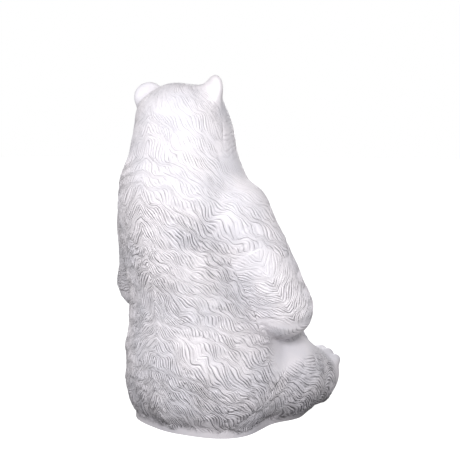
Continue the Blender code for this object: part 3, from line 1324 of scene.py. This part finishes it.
@dataclass(frozen=True)
class PaintedResin:
    """Satin white acrylic, sprayed on cast resin, with painted shade in the cuts of the fur.

    It gives the eye a cool clean white with a broad soft sheen. Grey painted shade draws each stroke
    as a grey line, lies under the rows' edges and in the creases, and darkens the statue towards the
    floor.
    """

    white: str = "#F1ECF1"
    cool: str = "#E6E3EA"
    shade_grey: str = "#7A777E"
    dark: str = "#17161A"
    horn: str = "#3A373B"
    # Acrylic paint, satin on the white and glossy on nose and eyes, with a weak clear coat.
    ior: float = 1.50
    satin: float = 0.46
    glaze: float = 0.16
    varnish: float = 0.08
    varnish_roughness: float = 0.35
    # Painted shade in each kind of cut, under the rows' edges, in the creases and at the foot, the
    # height it fades over, and the most in all.
    thread_shade: float = 0.62
    fibre_shade: float = 0.18
    strand_shade: float = 0.55
    row_shade: float = 0.10
    crease_shade: float = 0.14
    foot_shade: float = 0.38
    foot_fade: float = 0.20
    most_shade: float = 0.80
    # Heights of the ridges and of the paint's grain, in metres.
    thread_height: float = 0.0048
    fibre_height: float = 0.0010
    strand_height: float = 0.0024
    grain_height: float = 0.00025
    # Spacings in millimetres: cloudy tone, random patches in the painted shade, brush waver on the dark
    # paint, and grain.
    cloud: float = 200.0
    patch: float = 71.4
    waver: float = 11.1
    # The grain of sprayed paint is under 1 mm, too fine to show, so it is drawn coarser.
    grain: float = 6.25

    def broken(self, g: Graph, count: bpy.types.NodeSocket, row: bpy.types.NodeSocket, pace: float,
               depth: bpy.types.NodeSocket) -> bpy.types.NodeSocket:
        """Let cuts end and begin again at random along their way.

        Args:
            g: The graph.
            count: Cuts counted, with fractions.
            row: Rows counted, with fractions.
            pace: How often a cut changes within a row.
            depth: Its depth without a break.

        Returns:
            Its depth, nearly gone where it is broken off.
        """
        # Cuts lie far apart in the noise, so that each one breaks off by itself.
        one = g.math("MULTIPLY", g.math("FLOOR", g.math("ADD", count, 0.5)), 7.31)
        spot = g.add("ShaderNodeCombineXYZ", {}, i0=one, i1=g.math("MULTIPLY", row, pace), i2=pace)
        drawn = g.add("ShaderNodeTexNoise", {}, i0=spot, i2=1.0, i3=0.0)
        return g.math("MULTIPLY", g.between(drawn, 0.32, 0.60, 0.25, 1.20), depth)

    def ridge(self, g: Graph, count: bpy.types.NodeSocket, depth: bpy.types.NodeSocket,
              width: float) -> tuple[bpy.types.NodeSocket, bpy.types.NodeSocket]:
        """Draw round ridges with a dark line between them.

        Args:
            g: The graph.
            count: Ridges counted, with fractions.
            depth: Their depth at each place, about 1 at most.
            width: Share of a ridge that the line darkens on each side.

        Returns:
            The height and the line's darkness.
        """
        part = g.math("FRACT", count)
        side = g.math("MULTIPLY_ADD", part, 2.0, -1.0)
        fall = g.math("SUBTRACT", 1.0, g.math("MULTIPLY", side, side))
        top = g.math("SQRT", g.math("MAXIMUM", fall, 0.0))
        edge = g.math("MINIMUM", part, g.math("SUBTRACT", 1.0, part))
        line = g.between(edge, 0.0, width, 1.0, 0.0)
        return g.math("MULTIPLY", top, depth), g.math("MULTIPLY", line, depth)

    def build(self, bunch: float) -> bpy.types.Material:
        """Make the material.

        Args:
            bunch: Strokes in a lock.

        Returns:
            The material.
        """
        material = bpy.data.materials.new("white_painted_cast_resin")
        material.use_nodes = True
        g = Graph(material.node_tree)
        g.tree.nodes.clear()
        place = g.add("ShaderNodeTexCoord", {"out": 3})
        stroke, row, cut, fold, crease, paint, claw = [
            g.add("ShaderNodeAttribute", {"attribute_name": name, "out": 2})
            for name in ("stroke", "row", "cut", "fold", "crease", "paint", "claw")
        ]

        # Broad cloudy tone of sprayed paint, about 200 mm across.
        cloud = g.add("ShaderNodeTexNoise", {}, i0=place, i2=spaced(self.cloud), i3=3.0)
        body = g.mix(g.between(cloud, 0.35, 0.65), linear(self.white), linear(self.cool))

        # Strokes within a lock, finer hairs and the folds between locks, all broken off at random.
        lock = g.math("DIVIDE", stroke, bunch)
        fine = g.math("MULTIPLY_ADD", stroke, 2.0, 0.37)
        thread, thread_line = self.ridge(g, stroke, self.broken(g, stroke, row, 1.9, cut), 0.22)
        strand, strand_line = self.ridge(g, lock, self.broken(g, lock, row, 1.1, fold), 0.12)
        fibre, fibre_line = self.ridge(g, fine, self.broken(g, fine, row, 2.6, cut), 0.30)

        # Shade under the lower edge of each row.
        under = g.math("MULTIPLY", g.between(g.math("FRACT", row), 0.86, 0.99), fold)

        # Painted shade in the cuts and under the rows' edges, weaker in random patches.
        patch = g.add("ShaderNodeTexNoise", {}, i0=place, i2=spaced(self.patch), i3=4.0)
        shade_patches = g.between(patch, 0.30, 0.70, 0.70, 1.0)
        painted_shade = g.math("MULTIPLY", thread_line, self.thread_shade)
        painted_shade = g.math("MULTIPLY_ADD", fibre_line, self.fibre_shade, painted_shade)
        painted_shade = g.math("MULTIPLY_ADD", strand_line, self.strand_shade, painted_shade)
        painted_shade = g.math("MULTIPLY_ADD", under, self.row_shade, painted_shade)
        # Painted shade in the creases, where other forms close in.
        creased = g.between(crease, 0.25, 1.0, 0.0, self.crease_shade)
        painted_shade = g.math("ADD", g.math("MULTIPLY", painted_shade, shade_patches), creased)
        # Painted shade that greys the white towards the floor.
        height = g.add("ShaderNodeSeparateXYZ", {"out": 2}, i0=place)
        painted_shade = g.math("ADD", painted_shade, g.between(height, 0.0, self.foot_fade, self.foot_shade, 0.0))
        painted_shade = g.math("MINIMUM", painted_shade, self.most_shade)
        # The white turns grey wherever shade is painted.
        body = g.mix(painted_shade, body, linear(self.shade_grey))

        # Claws of a dark horn colour and a near-black nose and eyes, brushed on by hand.
        waver = g.add("ShaderNodeTexNoise", {}, i0=place, i2=spaced(self.waver), i3=2.0)
        waver = g.math("MULTIPLY", g.math("SUBTRACT", waver, 0.5), 0.0012)
        horn = g.between(g.math("ADD", claw, waver), 0.0006, 0.0013, 1.0, 0.0)
        body = g.mix(horn, body, linear(self.horn))
        black = g.between(g.math("ADD", paint, waver), 0.0002, 0.0009, 1.0, 0.0)
        body = g.mix(black, body, linear(self.dark))

        # Satin on the locks, duller where shade is painted, glossy on the dark paint.
        rough = g.math("MULTIPLY_ADD", painted_shade, 0.35, self.satin)
        rough = g.math("ADD", rough, g.between(patch, 0.3, 0.7, -0.04, 0.04))
        rough = g.between(black, 0.0, 1.0, rough, self.glaze)

        # Heights in metres: strokes, folds, finer hairs, and the paint's fine grain.
        grain = g.add("ShaderNodeTexNoise", {}, i0=place, i2=spaced(self.grain), i3=2.0)
        high = g.math("MULTIPLY", thread, self.thread_height)
        high = g.math("MULTIPLY_ADD", strand, self.strand_height, high)
        high = g.math("MULTIPLY_ADD", fibre, self.fibre_height, high)
        high = g.math("MULTIPLY_ADD", grain, self.grain_height, high)
        bump = g.add("ShaderNodeBump", {}, i0=1.0, i1=1.0, i3=high)

        shader = g.tree.nodes.new("ShaderNodeBsdfPrincipled")
        for name, source in (("Base Color", body), ("Roughness", rough), ("Normal", bump)):
            g.tree.links.new(source, shader.inputs[name])
        shader.inputs["IOR"].default_value = self.ior
        shader.inputs["Coat Weight"].default_value = self.varnish
        shader.inputs["Coat Roughness"].default_value = self.varnish_roughness
        end = g.tree.nodes.new("ShaderNodeOutputMaterial")
        g.tree.links.new(shader.outputs[0], end.inputs[0])
        return material


@dataclass(frozen=True)
class StudioPaper:
    """Matt paper roll under the statue.

    It gives the eye no texture and no edge: the camera sees it bright enough to run into the white
    room, while its grey keeps the light that it throws back up weak.
    """

    colour: str = "#9C9C9C"
    glow: float = 1.0

    def build(self) -> bpy.types.Material:
        """Make the material.

        Returns:
            The material.
        """
        material = bpy.data.materials.new("pale_studio_paper")
        material.use_nodes = True
        g = Graph(material.node_tree)
        g.tree.nodes.clear()
        matt = g.add("ShaderNodeBsdfDiffuse", {}, i0=linear(self.colour), i1=0.9)
        glow = g.add("ShaderNodeEmission", {}, i0=linear("#FFFFFF"), i1=self.glow)
        seen = g.add("ShaderNodeLightPath", {"out": 0})
        lit = g.add("ShaderNodeAddShader", {}, i0=matt, i1=glow)
        both = g.add("ShaderNodeMixShader", {}, i0=seen, i1=matt, i2=lit)
        end = g.tree.nodes.new("ShaderNodeOutputMaterial")
        g.tree.links.new(both, end.inputs[0])
        return material


# Studio


@dataclass(frozen=True)
class Lamp:
    """A soft square lamp, placed from the target in metres along the camera's own directions."""

    name: str
    back: float
    right: float
    up: float
    watts: float
    size: float


@dataclass
class Studio:
    """Camera, lights and floor."""

    target: Place = (0.0, 0.0673, 0.7347)
    azimuth: float = 219.0
    elevation: float = 7.0
    distance: float = 3.980
    # Focal length and the target's place in the picture, in pixels.
    lens_pixels: float = 900.7
    target_pixel: Pair = (207.0, 254.0)
    sensor: float = 36.0
    lamps: tuple[Lamp, ...] = (
        Lamp("key", 3.9, 0.05, 0.6, 112.0, 0.6),
        Lamp("fill", 2.0, -2.8, 1.6, 30.0, 1.6),
        Lamp("far", -3.4, 0.6, 1.6, 46.0, 2.0),
    )
    sky: float = 0.44
    floor_half: float = 60.0

    def axes(self) -> tuple[Vector, Vector, Vector]:
        """Find the camera's directions.

        Returns:
            Unit vectors from the target to the camera, to the picture's right, and up in it.
        """
        a = math.radians(self.azimuth)
        e = math.radians(self.elevation)
        back = Vector((math.sin(a) * math.cos(e), -math.cos(a) * math.cos(e), math.sin(e)))
        right = Vector((0, 0, 1)).cross(back).normalized()
        return back, right, back.cross(right)

    def camera(self) -> None:
        """Set the camera, aimed so that the target falls on its pixel."""
        back, right, up = self.axes()
        target = Vector(self.target)
        metre = self.distance / self.lens_pixels
        half = FRAME_PIXELS / 2
        aim = target + right * (half - self.target_pixel[0]) * metre
        aim += up * (self.target_pixel[1] - half) * metre
        data = bpy.data.cameras.new("camera")
        data.sensor_width = self.sensor
        data.sensor_fit = "HORIZONTAL"
        data.lens = self.lens_pixels / FRAME_PIXELS * self.sensor
        camera = bpy.data.objects.new("camera", data)
        camera.location = target + back * self.distance
        camera.rotation_euler = (camera.location - aim).to_track_quat("Z", "Y").to_euler()
        bpy.context.scene.collection.objects.link(camera)
        bpy.context.scene.camera = camera

    def hang(self, lamp: Lamp) -> None:
        """Hang a soft lamp that faces the statue.

        Args:
            lamp: The lamp.
        """
        back, right, up = self.axes()
        target = Vector(self.target)
        where = target + back * lamp.back + right * lamp.right + up * lamp.up
        data = bpy.data.lights.new(lamp.name, "AREA")
        data.energy = lamp.watts
        data.size = lamp.size
        holder = bpy.data.objects.new(lamp.name, data)
        holder.location = where
        holder.rotation_euler = (where - target).to_track_quat("Z", "Y").to_euler()
        bpy.context.scene.collection.objects.link(holder)

    def lights(self) -> None:
        """Light it with a soft flash by the camera, a weak fill and a far lamp, in a pale room."""
        for lamp in self.lamps:
            self.hang(lamp)
        world = bpy.data.worlds.new("pale_room")
        world.use_nodes = True
        g = Graph(world.node_tree)
        g.tree.nodes.clear()
        seen = g.add("ShaderNodeLightPath", {"out": 0})
        room = g.add("ShaderNodeBackground", {}, i0=linear("#FFFFFF"), i1=self.sky)
        wall = g.add("ShaderNodeBackground", {}, i0=linear("#FFFFFF"), i1=1.0)
        both = g.add("ShaderNodeMixShader", {}, i0=seen, i1=room, i2=wall)
        end = g.tree.nodes.new("ShaderNodeOutputWorld")
        g.tree.links.new(both, end.inputs[0])
        bpy.context.scene.world = world
        bpy.context.scene.view_settings.view_transform = "Standard"

    def floor(self) -> bpy.types.Object:
        """Lay the pale floor.

        Returns:
            The floor's object.
        """
        half = self.floor_half
        corners = [(-half, -half, 0), (half, -half, 0), (half, half, 0), (-half, half, 0)]
        mesh = bpy.data.meshes.new("floor")
        mesh.from_pydata(corners, [], [(0, 1, 2, 3)])
        mesh.materials.append(StudioPaper().build())
        floor = bpy.data.objects.new("floor", mesh)
        bpy.context.scene.collection.objects.link(floor)
        return floor


def main() -> None:
    """Build the statue and the studio."""
    logging.basicConfig(level=logging.INFO, format="%(name)s: %(message)s")
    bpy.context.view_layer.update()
    bear = Bear()
    coat = Coat(bear)
    piece = CastBear(bear, coat).build(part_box("bear"), PaintedResin().build(coat.bunch))
    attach(piece, "root")
    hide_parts("bear")
    LOG.info("%s: %d triangles", piece.name, len(piece.data.polygons))
    studio = Studio()
    studio.camera()
    studio.lights()
    studio.floor()
    LOG.info("studio set")


if __name__ == "__main__":
    main()
